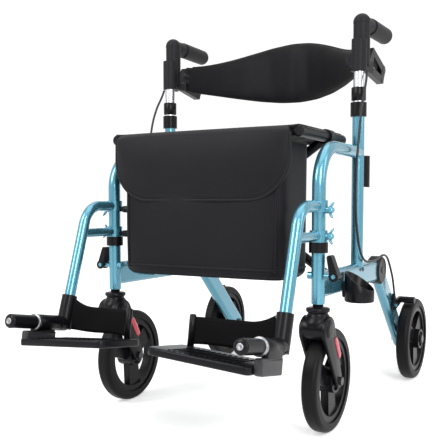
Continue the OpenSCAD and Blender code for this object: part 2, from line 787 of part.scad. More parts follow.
// Heel strap: a band from the plate's inner post to the socket, bowed to the rear, lower in the middle
module heel_strap(side) {
  x0 = strap_in + strap_post_r + clear_gap;
  x1 = -socket_r - clear_gap;
  half = (x1 - x0) / 2;
  r = (half * half + strap_bow * strap_bow) / (2 * strap_bow);
  dip_half = half - 4;
  dip_r = (dip_half * dip_half + strap_dip * strap_dip) / (2 * strap_dip);
  color(cloth) on_side(side) at_plate() translate([(x0 + x1) / 2, strap_y, plate_top + 4]) difference() {
    translate([0, strap_bow - r, 0]) linear_extrude(strap_h) intersection() {
      difference() {
        circle(r = r + strap_t / 2, $fn = 180);
        circle(r = r - strap_t / 2, $fn = 180);
      }
      translate([-half, 0]) square([2 * half, 2 * r]);
    }
    rod_y(dip_r, -60, 60, 0, strap_h - strap_dip + dip_r, $fn = 180);
  }
}

// One brace tube, drawn from its lower pivot along +X, with its three eyes
module brace(mid_pin) {
  half = brace_eye_l / 2;
  difference() {
    union() {
      rotate([0, 90, 0]) cylinder(r = brace_d / 2, h = brace_len);
      for (p = [[0, brace_eye_r], [brace_len / 2, brace_eye_r + 2], [brace_len, seat_rail_r + 4]])
        rod_y(p[1], -half, half, p[0], 0);
    }
    rod_y(brace_pin_r + run_gap, -half - 1, half + 1, 0, 0);
    if (!mid_pin) rod_y(brace_pin_r + run_gap, -half - 1, half + 1, brace_len / 2, 0);
    rod_y(seat_rail_r + run_gap, -half - 1, half + 1, brace_len, 0);
  }
  if (mid_pin) rod_y(brace_pin_r, 0, brace_rear_y - brace_front_y + half + 3, brace_len / 2, 0);
}

module brace_front() {
  color(black) translate([-pivot_x, brace_front_y, rail_z]) rotate([0, -brace_angle, 0]) brace(true);
}

module brace_rear() {
  color(black) mirror([1, 0, 0]) translate([-pivot_x, brace_rear_y, rail_z])
    rotate([0, -brace_angle, 0]) brace(false);
}

// Seat rail with rounded end plugs
module seat_rail(side) {
  r = seat_rail_r;
  color(black) on_side(side) translate([pivot_x, seat_rail_y0, seat_rail_z]) rotate([-90, 0, 0])
    rotate_extrude() difference() {
      square([r, seat_rail_y1 - seat_rail_y0]);
      for (y = [0, seat_rail_y1 - seat_rail_y0]) difference() {
        translate([r - 4, y - 4]) square([8, 8]);
        translate([r - 4, y == 0 ? 4 : y - 4]) circle(4);
        translate([r - 9, y == 0 ? 4 : y - 12]) square([9, 8]);
      }
    }
}

// Skin of a pad: a grid of top points over a grid of bottom points, closed by walls
module pad_skin(top, bottom) {
  n = len(top);
  m = len(top[0]);
  t = function (i, j) i * m + j;
  b = function (i, j) n * m + i * m + j;
  upper = [for (i = [0 : n - 2], j = [0 : m - 2])
    each [[t(i, j), t(i, j + 1), t(i + 1, j + 1)], [t(i, j), t(i + 1, j + 1), t(i + 1, j)]]];
  lower = [for (i = [0 : n - 2], j = [0 : m - 2])
    each [[b(i, j), b(i + 1, j + 1), b(i, j + 1)], [b(i, j), b(i + 1, j), b(i + 1, j + 1)]]];
  ends = [for (j = [0 : m - 2])
    each [[t(0, j), b(0, j + 1), t(0, j + 1)], [t(0, j), b(0, j), b(0, j + 1)],
          [t(n - 1, j), t(n - 1, j + 1), b(n - 1, j + 1)], [t(n - 1, j), b(n - 1, j + 1), b(n - 1, j)]]];
  edges = [for (i = [0 : n - 2])
    each [[t(i, 0), t(i + 1, 0), b(i + 1, 0)], [t(i, 0), b(i + 1, 0), b(i, 0)],
          [t(i, m - 1), b(i + 1, m - 1), t(i + 1, m - 1)], [t(i, m - 1), b(i, m - 1), b(i + 1, m - 1)]]];
  polyhedron([for (r = top) each r, for (r = bottom) each r], concat(upper, lower, ends, edges));
}

// Sling seat: sagging between the rails, thin at its hems, with two sewn channels
module seat() {
  nx = 24;
  ny = 16;
  sag = function (u) seat_sag * (1 - pow(2 * u - 1, 2));
  channel = function (v) 3 * max(0, 1 - abs(v - 0.33) / 0.06) + 3 * max(0, 1 - abs(v - 0.67) / 0.06);
  crown = function (u, v) (seat_t - 6) * pow(max(0, 1 - pow(2 * v - 1, 4)), 0.5) - channel(v) * sin(180 * u);
  top = [for (i = [0 : nx]) [for (j = [0 : ny]) let (u = i / nx, v = j / ny)
    [-seat_half + 2 * seat_half * u, seat_y0 + seat_l * v, seat_top - seat_t + 6 - sag(u) + crown(u, v)]]];
  lift = function (u) seat_lift * max(0, 1 - nx * min(u, 1 - u));
  bottom = [for (i = [0 : nx]) [for (j = [0 : ny]) let (u = i / nx, v = j / ny)
    [-seat_half + 2 * seat_half * u, seat_y0 + seat_l * v, seat_top - seat_t - sag(u) + lift(u)]]];
  color(cloth) pad_skin(top, bottom);
}

// Storage bag under the seat: upright corners, sides that draw in downwards
module bag() {
  r = 18;
  levels = [[bag_top_w / 2, bag_top_z - 2], [bag_bottom_w / 2, bag_bottom_z]];
  color(cloth) hull() for (s = [-1, 1], p = levels,
      y = [front_y - bag_front + r, front_y + bag_back - r])
    translate([s * (p[0] - r), y, p[1]]) cylinder(r = r, h = 2, $fn = 32);
}

// Flap over the front of the bag, with two round lower corners
module bag_flap() {
  half = flap_w / 2;
  corner_z = flap_top_z - flap_h + flap_corner;
  color(cloth) translate([0, flap_y, 0]) rotate([90, 0, 0]) linear_extrude(flap_t) {
    translate([-half, corner_z]) square([flap_w, flap_h - flap_corner]);
    intersection() {
      union() {
        translate([-half + flap_corner, corner_z - flap_corner]) square([flap_w - 2 * flap_corner, flap_h]);
        for (s = [-1, 1]) translate([s * (half - flap_corner), corner_z]) circle(flap_corner);
      }
      translate([-half, corner_z - flap_corner]) square([flap_w, flap_h]);
    }
  }
}

// Backrest: a padded band bowed to the rear, deep in the middle and narrow at its ends
module backrest() {
  swell = function (a) pow(0.5 + 0.5 * cos(180 * a), 0.7);
  square_out = function (a) let (slope = 2 * back_bow * a / back_end_x) [slope, 1] / norm([slope, 1]);
  station = function (i) let (a = -1 + 2 * i / back_stations, s = swell(a), n = square_out(a))
    let (h = back_end_h + (back_h - back_end_h) * s, t = 8 + (back_t - 8) * s)
    [for (k = [0 : back_ring - 1]) let (c = cos(k * 360 / back_ring), d = sin(k * 360 / back_ring))
      let (out = t / 2 * sign(c) * pow(abs(c), 0.8), up = h / 2 * sign(d) * pow(abs(d), 0.6))
      [a * back_end_x + out * n[0], back_y + back_bow * (1 - a * a) + out * n[1],
       back_z + back_lift * s + up]];
  color(cloth) tube_skin([for (i = [0 : back_stations]) station(back_stations - i)]);
}

// Cup on the right-hand rail for the foot of a cane, with a sloping rim
module cane_cup() {
  outer = cup_r + cup_wall;
  color(black) difference() {
    union() {
      rod_z(outer, cup_z0, cup_z0 + cup_h, cup_x, cup_y);
      translate([leg_face, cup_y - 16, cup_z0 + 8]) cube([cup_x - leg_face, 32, 34]);
    }
    rod_z(cup_r, cup_z0 + 4, cup_z0 + cup_h + 1, cup_x, cup_y);
    translate([cup_x - 2 * outer, cup_y - outer, cup_z0 + cup_h]) rotate([-24, 0, 0])
      cube([4 * outer, 4 * outer, cup_h]);
  }
}

// Spring clip on the right-hand rear post for the shaft of the cane
module cane_clip() {
  y = rear_y + tube_r + clip_r;
  color(black) difference() {
    union() {
      rod_z(clip_r, clip_z, clip_z + clip_h, side_x, y);
      translate([side_x - 9, rear_y, clip_z]) cube([18, tube_r + clip_r, clip_h]);
    }
    rod_z(cane_d / 2, clip_z - 1, clip_z + clip_h + 1, side_x, y);
    rod_z(tube_r + seat_gap, clip_z - 1, clip_z + clip_h + 1, side_x, rear_y);
    translate([side_x - cane_d * 0.36, y, clip_z - 1]) cube([cane_d * 0.72, clip_r * 2, clip_h + 2]);
  }
}

for (side = ["left", "right"]) {
  front_tube(side);
  rear_post(side);
  lower_rail(side);
  rail_elbow(side);
  rear_leg(side);
  rear_axle(side);
  rear_rim(side);
  rear_tyre(side);
  brake_arm(side);
  caster_fork(side);
  front_axle(side);
  front_rim(side);
  front_tyre(side);
  post_collar(side);
  handle_tube(side);
  handle(side);
  brake_lever(side);
  brake_cable(side);
  stop_collar(side);
  clamp_lever(side);
  hanger(side);
  foot_socket(side);
  footplate(side);
  heel_strap(side);
  seat_rail(side);
}
brace_front();
brace_rear();
seat();
bag();
bag_flap();
backrest();
cane_cup();
cane_clip();
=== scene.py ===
import math

import bpy
import numpy as np
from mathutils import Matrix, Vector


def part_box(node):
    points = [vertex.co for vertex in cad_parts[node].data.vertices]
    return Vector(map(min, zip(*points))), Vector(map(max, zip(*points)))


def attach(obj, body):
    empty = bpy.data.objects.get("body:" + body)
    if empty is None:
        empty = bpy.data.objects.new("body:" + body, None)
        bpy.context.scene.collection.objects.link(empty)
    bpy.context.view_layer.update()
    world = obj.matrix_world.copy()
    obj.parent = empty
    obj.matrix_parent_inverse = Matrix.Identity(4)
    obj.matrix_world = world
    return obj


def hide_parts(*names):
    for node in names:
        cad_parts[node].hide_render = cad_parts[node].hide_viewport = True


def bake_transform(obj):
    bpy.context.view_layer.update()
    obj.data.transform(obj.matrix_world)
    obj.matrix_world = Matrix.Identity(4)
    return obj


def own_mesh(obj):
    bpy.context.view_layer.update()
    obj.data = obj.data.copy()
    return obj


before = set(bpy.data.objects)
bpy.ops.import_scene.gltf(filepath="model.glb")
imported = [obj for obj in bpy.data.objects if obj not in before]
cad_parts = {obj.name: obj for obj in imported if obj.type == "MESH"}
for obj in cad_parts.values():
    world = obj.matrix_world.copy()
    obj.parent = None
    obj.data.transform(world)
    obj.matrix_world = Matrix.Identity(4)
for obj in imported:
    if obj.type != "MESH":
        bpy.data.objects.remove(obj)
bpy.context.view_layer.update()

print("stage: frame loaded")

# Main places of the object, in metres, as the CAD source has them.
sideX = 0.235
frontY = -0.2775
rearY = frontY + 0.219
elbowY = frontY + 0.359
railX = 0.205
sides = {"left": -1, "right": 1}


def newPiece(name, verts, faces, material):
    mesh = bpy.data.meshes.new(name)
    mesh.from_pydata(np.asarray(verts, float).tolist(), [], faces)
    mesh.validate()
    mesh.polygons.foreach_set("use_smooth", np.ones(len(mesh.polygons), bool))
    mesh.update()
    piece = bpy.data.objects.new(name, mesh)
    bpy.context.scene.collection.objects.link(piece)
    mesh.materials.append(material)
    return piece


# A grid of points becomes quads; either direction may close on itself.
def gridFaces(rows, columns, closeRows=False, closeColumns=False):
    i = np.arange(rows if closeRows else rows - 1)[:, None]
    j = np.arange(columns if closeColumns else columns - 1)
    here, onward = i * columns, (i + 1) % rows * columns
    beside = (j + 1) % columns
    quads = np.stack([here + j, onward + j, onward + beside, here + beside], -1)
    return quads.reshape(-1, 4).tolist()


# Flat ends for a stack of rings: the first ring backwards, the last one forwards.
def endFaces(rows, around):
    return [list(range(around - 1, -1, -1)), list(range((rows - 1) * around, rows * around))]


def turnedOver(faces):
    return [face[::-1] for face in faces]


# Faces for a piece that is mirrored when it stands on the left-hand side.
def facing(faces, side):
    return faces if side > 0 else turnedOver(faces)


def mirrored(verts, faces, side):
    return verts * np.array([side, 1, 1]), facing(faces, side)


def joinMeshes(parts):
    faces, base = [], 0
    for verts, partFaces in parts:
        faces += [[i + base for i in face] for face in partFaces]
        base += len(verts)
    return np.concatenate([verts for verts, partFaces in parts]), faces


# Two sheets on the same grid, one of them turned over, joined all round their rim.
def closedSheets(first, second, flip=False):
    rows, columns = first.shape[:2]
    n = rows * columns
    index = np.arange(n).reshape(rows, columns)
    rim = np.concatenate([index[0], index[1:, -1], index[-1, -2::-1], index[-2:0:-1, 0]])
    after = np.roll(rim, -1)
    grid = np.array(gridFaces(rows, columns))
    if flip:
        faces = [grid[:, ::-1], grid + n, np.stack([rim, rim + n, after + n, after], 1)]
    else:
        faces = [grid, grid[:, ::-1] + n, np.stack([rim, after, after + n, rim + n], 1)]
    verts = np.concatenate([first.reshape(-1, 3), second.reshape(-1, 3)])
    return verts, np.concatenate(faces).tolist()


# A round tube along a line of points: each ring stands square to the line, and the ring's first
# direction is carried along so that the tube doesn't twist.
def tubeMesh(points, radius, around=10, closed=False, scale=(1.0, 1.0), up=(0.0, 0.0, 1.0)):
    p = np.array(points, float)
    n = len(p)
    r = np.broadcast_to(np.array(radius, float), (n,))
    ahead = np.roll(p, -1, 0) - np.roll(p, 1, 0)
    if not closed:
        ahead[0], ahead[-1] = p[1] - p[0], p[-1] - p[-2]
    ahead /= np.linalg.norm(ahead, axis=1)[:, None]
    u = np.cross(ahead[0], up)
    if np.linalg.norm(u) < 1e-6:
        u = np.cross(ahead[0], (1.0, 0.0, 0.0))
    first = np.empty((n, 3))
    for i in range(n):
        u = u - (u @ ahead[i]) * ahead[i]
        u /= np.linalg.norm(u)
        first[i] = u
    second = np.cross(ahead, first)
    a = np.linspace(0, 2 * np.pi, around, endpoint=False)[:, None]
    ring = scale[0] * np.cos(a) * first[:, None] + scale[1] * np.sin(a) * second[:, None]
    verts = (p[:, None] + r[:, None, None] * ring).reshape(-1, 3)
    faces = gridFaces(n, around, closed, True)
    return verts, faces if closed else faces + endFaces(n, around)


# A profile of (radius, height) pairs turned round an axis through a point.
def latheMesh(profile, origin, axis, around=48):
    axis = np.array(axis, float) / np.linalg.norm(axis)
    side = np.cross(axis, (0.0, 0.0, 1.0) if abs(axis[2]) < 0.9 else (1.0, 0.0, 0.0))
    side /= np.linalg.norm(side)
    other = np.cross(axis, side)
    a = np.linspace(0, 2 * np.pi, around, endpoint=False)[:, None]
    spoke = np.cos(a) * side + np.sin(a) * other
    r, h = np.array(profile, float).T[:, :, None, None]
    verts = np.array(origin) + h * axis + r * spoke
    return verts.reshape(-1, 3), turnedOver(gridFaces(len(profile), around, False, True))


# A smooth line through given points (Catmull-Rom, with each end run on by its last step).
def smoothLine(points, steps=6):
    p = np.array(points, float)
    q = np.concatenate([[2 * p[0] - p[1]], p, [2 * p[-1] - p[-2]]])[:, None]
    a, b, c, d = q[:-3], q[1:-2], q[2:-1], q[3:]
    t = np.linspace(0, 1, steps, endpoint=False)[:, None]
    square, cube = 2 * a - 5 * b + 4 * c - d, 3 * b - a - 3 * c + d
    line = 0.5 * (2 * b + (c - a) * t + square * t ** 2 + cube * t ** 3)
    return np.concatenate([line.reshape(-1, 3), p[-1:]])


# The outline of a polygon with an arc at each corner: points and outward directions. Corners run
# anticlockwise; an arc starts where the incoming side touches its circle and turns with the corner.
def roundedOutline(corners, radii, steps=7):
    corners = np.array(corners, float)
    points, outward = [], []
    for i, radius in enumerate(radii):
        before, here, after = (corners[k % len(corners)] for k in (i - 1, i, i + 1))
        a, b = here - before, after - here
        a, b = a / np.linalg.norm(a), b / np.linalg.norm(b)
        bend = math.atan2(a[0] * b[1] - a[1] * b[0], a @ b)
        way = math.copysign(1.0, bend)
        start = here - a * radius * math.tan(abs(bend) / 2)
        middle = start + way * radius * np.array([-a[1], a[0]])
        x, y = start - middle
        turn = np.linspace(0, bend, steps)
        c, d = np.cos(turn), np.sin(turn)
        spin = np.stack([x * c - y * d, x * d + y * c], 1)
        points.append(middle + spin)
        outward.append(way * spin / radius)
    return np.concatenate(points), np.concatenate(outward)


# The outline round two circles: in each direction, the point of the circle that reaches further.
def twoCircleOutline(first, firstR, second, secondR, count=96):
    a = np.linspace(0, 2 * np.pi, count, endpoint=False)
    out = np.stack([np.cos(a), np.sin(a)], 1)
    nearer = (out @ np.array(first) + firstR >= out @ np.array(second) + secondR)[:, None]
    return np.where(nearer, np.array(first) + firstR * out, np.array(second) + secondR * out), out


# A slab with rounded edges: the outline is drawn in by the edge's quarter circle at both faces.
# Columns are the two directions of the outline, then the height.
def slabMesh(outline, low, high, edge, steps=5):
    points, outward = outline
    rows, n = 2 * steps, len(points)
    b = np.linspace(0, math.pi / 2, steps)
    drawn, lift = edge * (1 - np.sin(b)), edge * (1 - np.cos(b))
    verts = np.empty((rows, n, 3))
    verts[..., :2] = points - np.concatenate([drawn, drawn[::-1]])[:, None, None] * outward
    verts[..., 2] = np.concatenate([low + lift, high - lift[::-1]])[:, None]
    faces = turnedOver(gridFaces(rows, n, False, True)) + endFaces(rows, n)
    return verts.reshape(-1, 3), faces


def setSockets(node, constants):
    for socket, value in constants.items():
        node.inputs[socket].default_value = value
    return node


def addNode(nodes, kind, **constants):
    return setSockets(nodes.new(kind), constants)


# A texture on the object's own coordinates.
def addTexture(nodes, links, kind, **constants):
    texture = addNode(nodes, kind, **constants)
    links.new(nodes.new("ShaderNodeTexCoord").outputs["Object"], texture.inputs["Vector"])
    return texture


# A bump from a height, on top of another normal where there is one.
def addBump(nodes, links, height, strength, distance, normal=None):
    bump = addNode(nodes, "ShaderNodeBump", Strength=strength, Distance=distance)
    links.new(height, bump.inputs["Height"])
    if normal is not None:
        links.new(normal, bump.inputs["Normal"])
    return bump.outputs["Normal"]


# Paint, plastic or metal: edge softens the corners' shading, grain is a fine bump.
def shade(name, color, roughness, metallic=0.0, coat=0.0, grain=0.0, grainScale=600.0, specular=0.5,
          edge=0.0):
    material = bpy.data.materials.new(name)
    material.use_nodes = True
    nodes, links = material.node_tree.nodes, material.node_tree.links
    shader = setSockets(nodes["Principled BSDF"], {
        "Base Color": (*color, 1.0), "Roughness": roughness, "Metallic": metallic,
        "Specular IOR Level": specular, "Coat Weight": coat, "Coat Roughness": 0.08,
    })
    normal = None
    if edge > 0:
        normal = addNode(nodes, "ShaderNodeBevel", Radius=edge).outputs["Normal"]
    if grain > 0:
        noise = addTexture(nodes, links, "ShaderNodeTexNoise", Scale=grainScale, Detail=3.0)
        normal = addBump(nodes, links, noise.outputs["Fac"], grain, 0.001, normal)
    if normal is not None:
        links.new(normal, shader.inputs["Normal"])
    return material


# Cloth with a grain of small cells, slightly uneven in colour.
def clothShade(name, color, roughness, cell=700.0, strength=0.25):
    material = shade(name, color, roughness, specular=0.10)
    nodes, links = material.node_tree.nodes, material.node_tree.links
    shader = setSockets(nodes["Principled BSDF"], {"Sheen Weight": 0.02})
    cells = addTexture(nodes, links, "ShaderNodeTexVoronoi", Scale=cell)
    soft = addTexture(nodes, links, "ShaderNodeTexNoise", Scale=9.0)
    darker, lighter = ((*[c * share for c in color], 1.0) for share in (0.82, 1.2))
    mix = addNode(nodes, "ShaderNodeMixRGB", Color1=darker, Color2=lighter)
    links.new(soft.outputs["Fac"], mix.inputs["Fac"])
    links.new(mix.outputs["Color"], shader.inputs["Base Color"])
    normal = addBump(nodes, links, cells.outputs["Distance"], strength, 0.0008)
    links.new(normal, shader.inputs["Normal"])
    return material


# Webbing: fine ribs across the band.
def ribShade(name, color):
    material = shade(name, color, 0.75, specular=0.07)
    nodes, links = material.node_tree.nodes, material.node_tree.links
    wave = addTexture(nodes, links, "ShaderNodeTexWave", Scale=220.0)
    wave.bands_direction = "X"
    normal = addBump(nodes, links, wave.outputs["Fac"], 0.3, 0.001)
    links.new(normal, nodes["Principled BSDF"].inputs["Normal"])
    return material


moulded = {"grain": 0.06, "grainScale": 900.0, "edge": 0.0015}
bluePaint = shade("bluePaint", (0.080, 0.268, 0.358), 0.26, metallic=0.7, coat=0.6, grain=0.02,
                  grainScale=1500.0)
blackPaint = shade("blackPaint", (0.0050, 0.0050, 0.0058), 0.36, specular=0.14, grain=0.03)
blackPlastic = shade("blackPlastic", (0.0047, 0.0047, 0.0058), 0.30, specular=0.14, **moulded)
# Painted light: a paler grey for the hinge block, standing in for the light that its face catches.
greyPlastic = shade("greyPlastic", (0.034, 0.034, 0.037), 0.42, specular=0.25, **moulded)
gripRubber = shade("gripRubber", (0.0088, 0.0088, 0.0104), 0.5, specular=0.14, grain=0.12,
                   grainScale=1100.0, edge=0.002)
tyreRubber = shade("tyreRubber", (0.0038, 0.0038, 0.0044), 0.46, specular=0.12, grain=0.1,
                   grainScale=700.0)
darkSteel = shade("darkSteel", (0.07, 0.07, 0.075), 0.34, metallic=1.0, grain=0.03)
satinSteel = shade("satinSteel", (0.27, 0.27, 0.28), 0.38, metallic=1.0, grain=0.03)
brightAluminium = shade("brightAluminium", (0.64, 0.65, 0.67), 0.24, metallic=1.0)
cableJacket = shade("cableJacket", (0.010, 0.010, 0.011), 0.45, specular=0.3)
webbing = ribShade("webbing", (0.0030, 0.0029, 0.0034))
seatCloth = clothShade("seatCloth", (0.0062, 0.0062, 0.0070), 0.7, cell=900.0)
bagCloth = clothShade("bagCloth", (0.0078, 0.0074, 0.0092), 0.5, cell=620.0)
pipingCloth = clothShade("pipingCloth", (0.010, 0.0095, 0.0105), 0.5, cell=800.0, strength=0.12)
threadCloth = shade("threadCloth", (0.018, 0.017, 0.019), 0.7, specular=0.2)
padCloth = clothShade("padCloth", (0.0044, 0.0044, 0.0054), 0.5, cell=800.0, strength=0.18)
redLens = shade("redLens", (0.50, 0.020, 0.045), 0.22, coat=0.5, grain=0.25, grainScale=420.0)

materialOf = {
    "front_tube": bluePaint, "rear_post": bluePaint, "lower_rail": bluePaint, "rear_leg": bluePaint,
    "hanger": bluePaint, "rail_elbow": blackPlastic, "rear_axle": darkSteel,
    "rear_rim": blackPlastic, "rear_tyre": tyreRubber, "brake_arm": blackPlastic,
    "caster_fork": blackPlastic, "front_axle": darkSteel, "front_rim": blackPlastic,
    "front_tyre": tyreRubber, "post_collar": blackPlastic, "handle_tube": brightAluminium,
    "handle": gripRubber, "brake_lever": blackPlastic, "brake_cable": cableJacket,
    "stop_collar": blackPlastic, "clamp_lever": blackPlastic, "foot_socket": blackPlastic,
    "footplate": blackPlastic, "heel_strap": webbing, "brace_front": blackPaint,
    "brace_rear": blackPaint, "seat_rail": blackPaint, "seat": seatCloth, "bag": bagCloth,
    "bag_flap": bagCloth, "backrest": padCloth, "cane_cup": blackPlastic, "cane_clip": blackPlastic,
}
for nodeName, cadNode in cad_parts.items():
    kind = nodeName.replace("_left", "").replace("_right", "")
    cadNode.data.materials.clear()
    cadNode.data.materials.append(materialOf[kind])
print("stage: materials set")


bagSet = {
    "topHalf": 0.182, "bottomHalf": 0.180, "topZ": 0.556, "bottomZ": 0.2945,
    "frontY": frontY - 0.044, "backY": frontY + 0.090, "power": 9, "bulge": 0.006, "crease": 0.0016,
    "drawHigh": 0.05, "drawX": 0.05, "drawY": 0.12, "around": 160, "up": 56,
}


# The bag's walls: a rounded rectangle (a superellipse of power 9) at each height, drawn in at the
# bottom, with a soft bulge in front and a few shallow creases.
def bagMesh(s):
    v = np.linspace(0, 1, s["up"])[:, None]
    a = np.linspace(0, 2 * np.pi, s["around"], endpoint=False)
    c, d = np.cos(a), np.sin(a)
    k = (np.abs(c) ** s["power"] + np.abs(d) ** s["power"]) ** (-1 / s["power"])
    half = s["bottomHalf"] + (s["topHalf"] - s["bottomHalf"]) * v
    midY, depth = (s["frontY"] + s["backY"]) / 2, (s["backY"] - s["frontY"]) / 2
    x, y = half * k * c, depth * k * d
    swell = s["bulge"] * np.sin(np.pi * v) * np.clip(1 - (x / half) ** 2, 0, 1)
    crease = s["crease"] * np.sin(34 * x + 5 * v) * np.sin(np.pi * v) ** 2
    y = np.where(d < 0, y - (swell + crease) * np.abs(d * k), y)
    drawn = np.maximum(0.0, 1 - v / s["drawHigh"]) ** 2
    z = np.broadcast_to(s["bottomZ"] + (s["topZ"] - s["bottomZ"]) * v, x.shape)
    grid = np.stack([x * (1 - s["drawX"] * drawn), midY + y * (1 - s["drawY"] * drawn), z], -1)
    return grid, gridFaces(s["up"], s["around"], False, True) + endFaces(s["up"], s["around"])


bagGrid, bagFaces = bagMesh(bagSet)
bag = newPiece("bagBody", bagGrid.reshape(-1, 3), bagFaces, bagCloth)
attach(bag, "seat_left")
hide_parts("bag")
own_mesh(bag)

# Piping along the two front edges of the bag and round its base.
pipeSet = {"radius": 0.0022, "around": 8, "forward": 0.0008, "edges": (5 / 8, 7 / 8),
           "rows": (3, -2), "baseRow": 4}
pipeParts = []
for share in pipeSet["edges"]:
    line = bagGrid[slice(*pipeSet["rows"]), int(bagSet["around"] * share)]
    line = line - [0, pipeSet["forward"], 0]
    pipeParts.append(tubeMesh(line, pipeSet["radius"], pipeSet["around"]))
baseLine = bagGrid[pipeSet["baseRow"]]
pipeParts.append(tubeMesh(baseLine, pipeSet["radius"], pipeSet["around"], closed=True))
bagPiping = newPiece("bagPiping", *joinMeshes(pipeParts), pipingCloth)
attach(bagPiping, "seat_left")
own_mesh(bagPiping)
print("stage: bag made")


flapSet = {
    "half": 0.1945, "topZ": 0.5805, "height": 0.136, "corner": 0.082, "y": frontY - 0.0465,
    "thick": 0.005, "bulge": 0.010, "wave": 0.0012, "lip": 0.012, "lipHigh": 0.014,
    "sideBack": 0.006, "shoulder": 0.016, "across": 73, "down": 37,
}


# Places across the flap, closer together towards its sides.
def flapAcross(s, count):
    u = np.linspace(-1, 1, count)
    return s["half"] * np.sign(u) * (1 - (1 - np.abs(u)) ** 1.35)


# How far the flap hangs down at a place across it, with a quarter circle at each corner.
def flapDrop(s, x):
    over = np.clip((np.abs(x) - (s["half"] - s["corner"])) / s["corner"], 0, 1)
    return s["height"] - s["corner"] * (1 - np.sqrt(np.clip(1 - over ** 2, 0, 1)))


# The flap hangs from its top edge: rolled back a little at the top with rounded shoulders, swelling
# forward in the middle and pulled back towards its free edge, with a slow wave along the hem.
def flapPoint(s, x, t, lift):
    drop = flapDrop(s, x) * t
    across = np.clip(1 - (np.abs(x) / s["half"]) ** 6, 0, 1)
    swell = s["bulge"] * np.sin(np.pi * np.clip(t, 0, 1) ** 0.8) * across ** 0.5
    wave = s["wave"] * np.sin(26 * x + 1.0) * t ** 2
    roll = s["lip"] * np.clip(1 - drop / s["lipHigh"], 0, 1) ** 2
    y = s["y"] - swell - wave + roll + s["sideBack"] * (1 - across) - lift
    short = np.clip(1 - drop / s["shoulder"], 0, 1)
    inwards = 1 - s["shoulder"] / s["half"] * (1 - np.sqrt(1 - short ** 2))
    return np.stack([x * inwards, y, s["topZ"] - drop], -1)


flapX = flapAcross(flapSet, flapSet["across"])
flapT = np.linspace(0, 1, flapSet["down"])[:, None] ** 1.4
flapFront = flapPoint(flapSet, flapX, flapT, flapSet["thick"] / 2)
flapBack = flapPoint(flapSet, flapX, flapT, -flapSet["thick"] / 2)
flap = newPiece("flapPanel", *closedSheets(flapFront, flapBack), bagCloth)
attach(flap, "flap")
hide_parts("bag_flap")
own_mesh(flap)

# The bound hem: a tube along the flap's sides, from a row of its grid down, and its lower edge.
hemSet = {"fromRow": 13, "back": 0.0012, "radius": 0.0034, "around": 8}
sideRows = flapFront[hemSet["fromRow"]:]
hemLine = np.concatenate([sideRows[:, 0], flapFront[-1, 1:-1], sideRows[::-1, -1]])
hemLine = hemLine + [0, hemSet["back"], 0]
hem = newPiece("flapHem", *tubeMesh(hemLine, hemSet["radius"], hemSet["around"]), pipingCloth)
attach(hem, "flap")
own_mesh(hem)

stitchSet = {"inset": 0.010, "lift": 0.0003, "length": 0.0042, "gap": 0.0026, "radius": 0.0005,
             "around": 5, "places": 121}


# Stitches along a line: short tubes with thinner ends, one after another.
def stitchRow(s, line):
    along = np.concatenate([[0], np.cumsum(np.linalg.norm(np.diff(line, axis=0), axis=1))])
    size = s["radius"] * np.array([0.5, 1.0, 1.0, 0.5])
    parts, at = [], 0.0
    while at + s["length"] < along[-1]:
        places = np.linspace(at, at + s["length"], len(size))
        thread = np.stack([np.interp(places, along, line[:, k]) for k in range(3)], 1)
        parts.append(tubeMesh(thread, size, s["around"]))
        at += s["length"] + s["gap"]
    return joinMeshes(parts)


# The seam follows the outline of a smaller flap.
insetSet = dict(flapSet)
for measure in ("half", "height", "corner"):
    insetSet[measure] -= stitchSet["inset"]
seamX = flapAcross(insetSet, stitchSet["places"])
seamT = np.minimum(1.0, flapDrop(insetSet, seamX) / flapDrop(flapSet, seamX))
seamLine = flapPoint(flapSet, seamX, seamT, flapSet["thick"] / 2 + stitchSet["lift"])
stitches = newPiece("flapStitches", *stitchRow(stitchSet, seamLine), threadCloth)
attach(stitches, "flap")
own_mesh(stitches)
print("stage: flap made")


seatSet = {
    "half": 0.2155, "y0": frontY - 0.033, "length": 0.225, "top": 0.5825, "sag": 0.007,
    "thick": 0.012, "sheet": 0.0018, "pad": 0.0035, "padFrom": railX - 0.012, "padRise": 0.03,
    "bands": 3, "edge": 0.004, "edgeRun": 0.03, "cornerIn": 0.07, "cornerRun": 0.1, "tuck": 0.001,
    "railR": 0.011, "across": 61, "along": 49,
}


# The sling: flat between the rails with a sag, and at each side wrapped round the rail's top and
# outer face, with its front corners drawn in; three padded bands with two sewn channels run across.
def seatMesh(s):
    v = np.linspace(0, 1, s["along"])[:, None]
    narrow = 1 - s["cornerIn"] * np.maximum(0.0, 1 - v / s["cornerRun"]) ** 2
    x = np.linspace(-s["half"], s["half"], s["across"]) * narrow
    y = np.broadcast_to(s["y0"] + s["length"] * v, x.shape)
    pad = s["pad"] * np.abs(np.sin(s["bands"] * np.pi * v)) ** 0.6
    edge = s["edge"] * (1 - np.minimum(1.0, np.minimum(v, 1 - v) / s["edgeRun"])) ** 2
    over = np.clip((np.abs(x) - railX) / s["railR"], 0, 1)
    wrap = s["railR"] * (1 - np.sqrt(1 - np.clip(over, 0, 0.995) ** 2))
    sag = s["sag"] * (1 - np.clip(np.abs(x) / railX, 0, 1) ** 2)
    inner = np.clip((s["padFrom"] - np.abs(x)) / s["padRise"], 0, 1)
    z = s["top"] - sag - wrap + pad * inner - edge
    thick = s["sheet"] + (s["thick"] - s["sheet"]) * inner
    top = np.stack([x, y, z], -1)
    under = np.stack([x - np.sign(x) * over * s["tuck"], y, z - thick], -1)
    return closedSheets(top, under, flip=True)


seat = newPiece("seatSling", *seatMesh(seatSet), seatCloth)
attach(seat, "seat_left")
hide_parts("seat")
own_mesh(seat)
print("stage: seat made")


